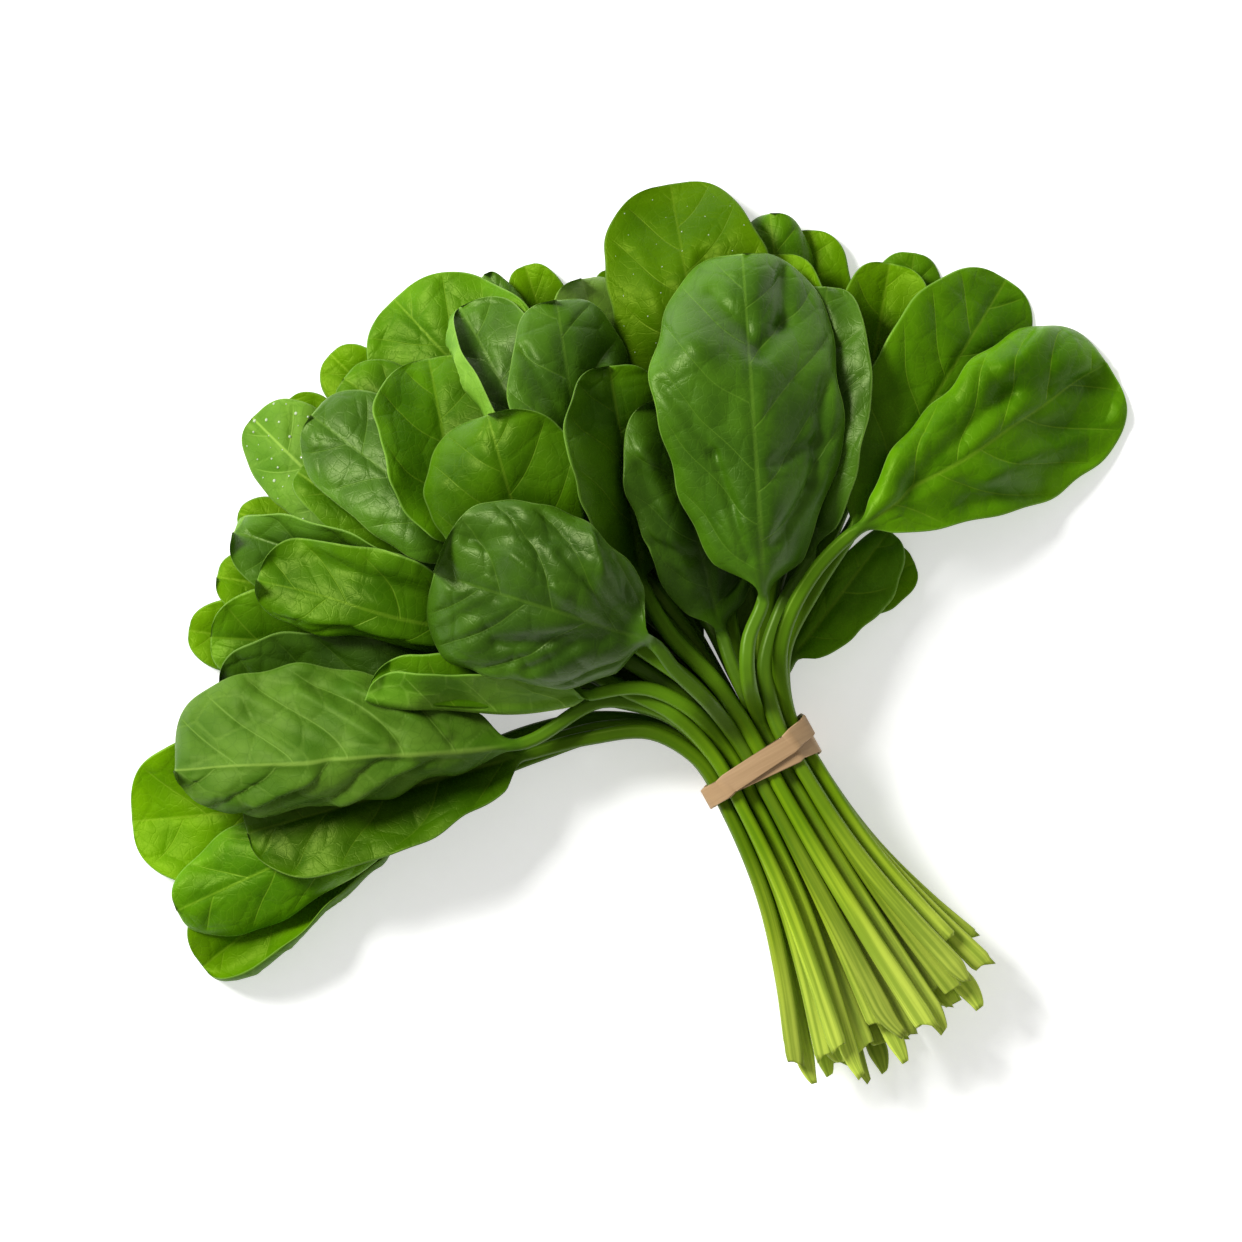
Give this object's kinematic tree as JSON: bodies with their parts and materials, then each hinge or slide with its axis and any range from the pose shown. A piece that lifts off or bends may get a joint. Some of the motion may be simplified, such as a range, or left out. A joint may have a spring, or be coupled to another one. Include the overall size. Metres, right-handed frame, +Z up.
{
  "type": "spinach bunch",
  "caption": "Bunch of fresh round-leaved spinach lying on its side, its cut stems tied with a doubled tan rubber band.",
  "frame": {"origin": "on the surface the bunch lies on, under the middle of its bounding box", "axes": "+Z up from the surface; +Y along the tied stems, from their cut ends towards the leaves; +X to the right across the fan of leaves"},
  "size_m": [0.3064, 0.2534, 0.0643],
  "materials": {
    "green_leaf": "fresh mid green leaf, satin, with a paler stem",
    "dark_leaf": "fresh dark green leaf, satin, with a paler stem",
    "bright_leaf": "fresh bright yellow-green leaf, satin, with a paler stem",
    "pale_leaf": "pale green leaf or pale ribbed underside, matte",
    "band": "tan natural rubber, matte"
  },
  "bodies": {
    "root": {"leaf_01": "green_leaf", "leaf_02": "green_leaf", "leaf_03": "green_leaf", "leaf_04": "bright_leaf", "leaf_05": "bright_leaf", "leaf_06": "dark_leaf", "leaf_07": "bright_leaf", "leaf_08": "bright_leaf", "leaf_09": "bright_leaf", "leaf_10": "bright_leaf", "leaf_11": "bright_leaf", "leaf_12": "green_leaf", "leaf_13": "bright_leaf", "leaf_14": "bright_leaf", "leaf_15": "bright_leaf", "leaf_16": "bright_leaf", "leaf_17": "green_leaf", "leaf_18": "green_leaf", "leaf_19": "dark_leaf", "leaf_20": "green_leaf", "leaf_21": "pale_leaf", "leaf_22": "green_leaf", "leaf_23": "green_leaf", "leaf_24": "dark_leaf", "leaf_25": "green_leaf", "leaf_26": "green_leaf", "leaf_27": "dark_leaf", "leaf_28": "pale_leaf", "leaf_29": "bright_leaf", "leaf_30": "pale_leaf", "leaf_31": "bright_leaf", "leaf_32": "dark_leaf", "leaf_33": "bright_leaf", "leaf_34": "green_leaf", "leaf_35": "green_leaf", "leaf_36": "green_leaf", "leaf_37": "dark_leaf", "leaf_38": "dark_leaf", "leaf_39": "green_leaf", "leaf_40": "dark_leaf", "leaf_41": "green_leaf", "leaf_42": "dark_leaf", "leaf_43": "green_leaf", "leaf_44": "dark_leaf", "leaf_45": "dark_leaf", "leaf_46": "dark_leaf", "rubber_band": "band"}
  },
  "joints": []
}
